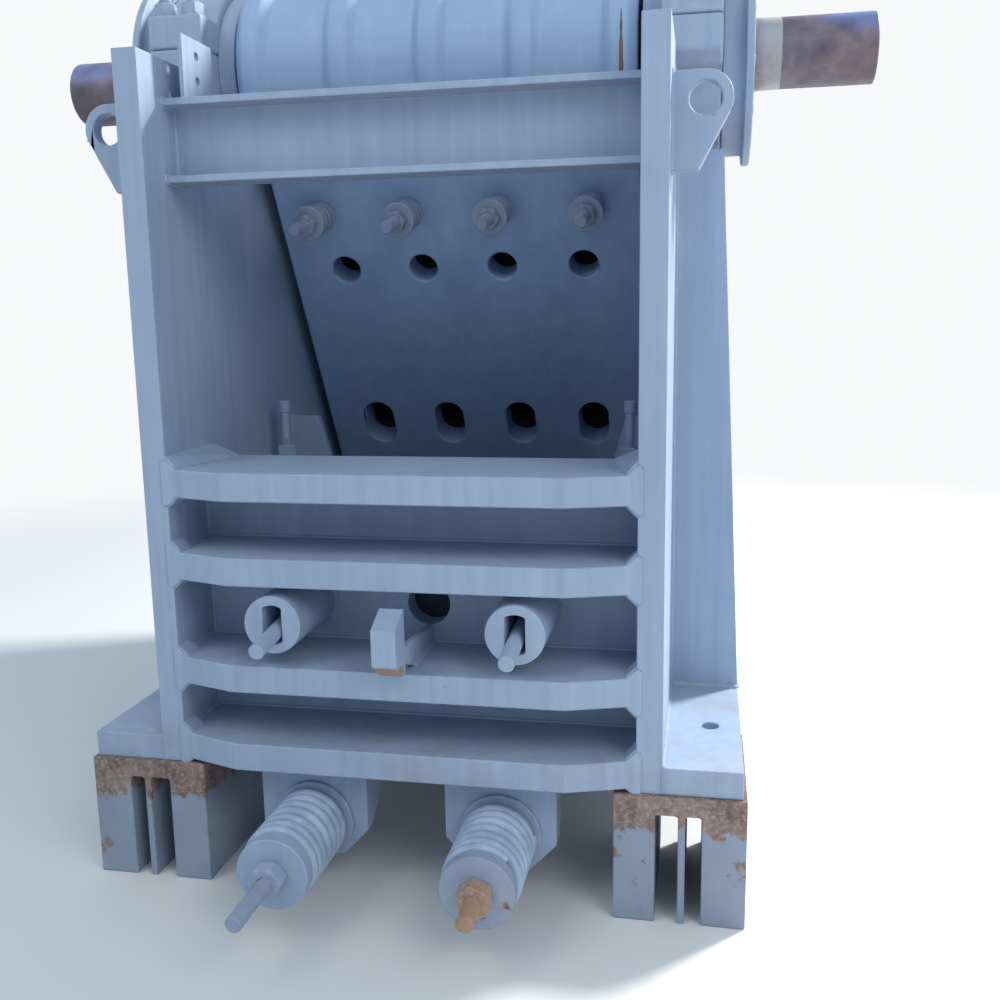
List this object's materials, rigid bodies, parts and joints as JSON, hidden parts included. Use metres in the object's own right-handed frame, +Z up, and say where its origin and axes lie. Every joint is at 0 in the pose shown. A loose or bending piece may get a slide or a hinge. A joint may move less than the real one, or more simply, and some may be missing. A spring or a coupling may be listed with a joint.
{
  "type": "jaw crusher",
  "caption": "Single toggle jaw crusher without its flywheels: welded ribbed frame, swinging jaw, bare shaft ends, spring loaded tension rods, on steel stands.",
  "frame": {"origin": "middle of the bounding box in X and Y, on the ground under the stands", "axes": "+X across the machine, along the shaft; -Y is the discharge (toggle) end and +Y the feed end; +Z up"},
  "size_m": [2.376, 3.02, 2.501],
  "materials": {
    "paint": "matte",
    "painted_steel": "satin",
    "cast_steel": "matte",
    "rusty_steel": "matte",
    "stand_steel": "matte"
  },
  "bodies": {
    "frame": {"side_plate_left": "paint", "side_plate_right": "paint", "outer_ribs_left": "paint", "outer_ribs_right": "paint", "rear_feet": "paint", "front_feet": "paint", "top_crossbeam": "paint", "rear_wall": "paint", "rear_ribs": "paint", "post_gussets": "paint", "slotted_tubes": "paint", "jack_bracket": "paint", "hold_down_ears": "paint", "side_gussets": "paint", "hold_down_rods": "painted_steel", "bearing_bases": "paint", "bearing_caps": "paint", "cap_nuts": "painted_steel", "bearing_covers": "paint", "seal_rings": "paint", "lifting_lugs": "paint", "bracket_plate": "paint", "front_wall": "paint", "front_ribs": "paint", "fixed_jaw_die": "cast_steel", "cheek_plates": "cast_steel", "block_guides": "paint", "spring_brackets": "paint", "coil_springs": "painted_steel", "rear_stands": "stand_steel", "front_stands": "stand_steel"},
    "shaft": {"eccentric_shaft": "rusty_steel"},
    "jaw": {"pitman_barrel": "paint", "pitman_body": "paint", "moving_jaw_die": "cast_steel", "jaw_bolts": "painted_steel", "toggle_seat": "cast_steel", "rod_lugs": "paint", "tension_rods": "rusty_steel", "rod_nuts": "rusty_steel"},
    "setting_block": {"toggle_block": "cast_steel", "adjusting_rods": "painted_steel"},
    "toggle": {"toggle_plate": "cast_steel"}
  },
  "joints": [
    {"name": "shaft_spin", "type": "hinge", "parent": "frame", "child": "shaft", "pos_m": [0, -0.29, 2.206], "axis": [1, 0, 0], "continuous": true},
    {"name": "jaw_swing", "type": "hinge", "parent": "frame", "child": "jaw", "pos_m": [0, -0.29, 2.206], "axis": [1, 0, 0], "range_deg": [-0.75, 0.75], "deforming": ["coil_springs"]},
    {"name": "block_slide", "type": "slide", "parent": "frame", "child": "setting_block", "axis": [0, 1, 0], "range_m": [-0.01949, 0.01949]},
    {"name": "toggle_tilt", "type": "hinge", "parent": "setting_block", "child": "toggle", "pos_m": [0, -0.33, 0.735], "axis": [1, 0, 0], "range_deg": [-0.71, 0.71]}
  ],
  "couplings": [
    {"joint": "block_slide", "follows": "jaw_swing", "m_per_rad": 1.4857},
    {"joint": "toggle_tilt", "follows": "jaw_swing", "ratio": 0.94737}
  ]
}
